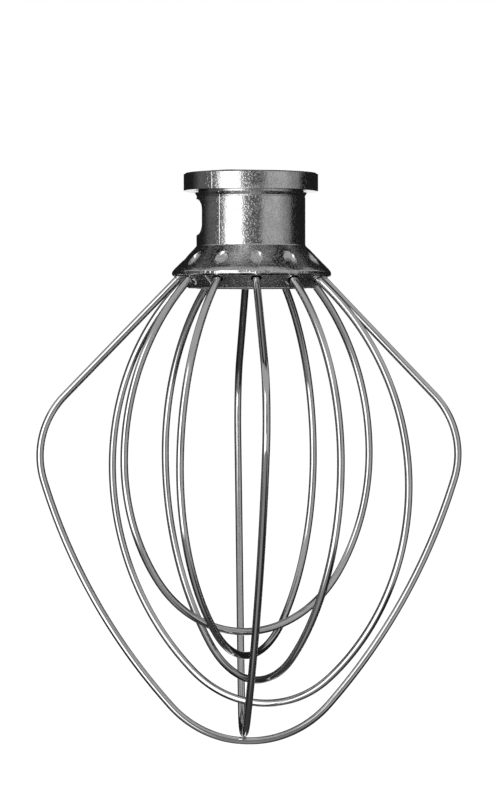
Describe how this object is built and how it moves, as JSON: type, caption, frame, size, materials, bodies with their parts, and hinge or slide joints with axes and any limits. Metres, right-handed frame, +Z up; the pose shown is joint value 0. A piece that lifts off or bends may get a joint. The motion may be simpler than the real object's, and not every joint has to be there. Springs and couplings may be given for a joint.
{
  "type": "stand mixer wire whip",
  "caption": "Wire whip attachment for a stand mixer: a flanged cast hub with a bayonet socket, carrying kite-shaped and round wire loops.",
  "frame": {"origin": "on the drive axis at the hub's top face, where the beater shaft enters; the whip hangs below it", "axes": "+Z up along the drive axis, out of the socket; -X is the side of the bayonet window"},
  "size_m": [0.1146, 0.112, 0.1543],
  "materials": {
    "cast_metal": "satin die casting, lightly burnished, with cast grain",
    "wire": "smooth drawn stainless wire"
  },
  "bodies": {
    "root": {"drive_hub": "cast_metal", "wire_retainer": "cast_metal", "kite_wire_lower": "wire", "kite_wire_upper": "wire", "round_wire_1": "wire", "round_wire_2": "wire", "round_wire_3": "wire", "round_wire_4": "wire"}
  },
  "joints": []
}
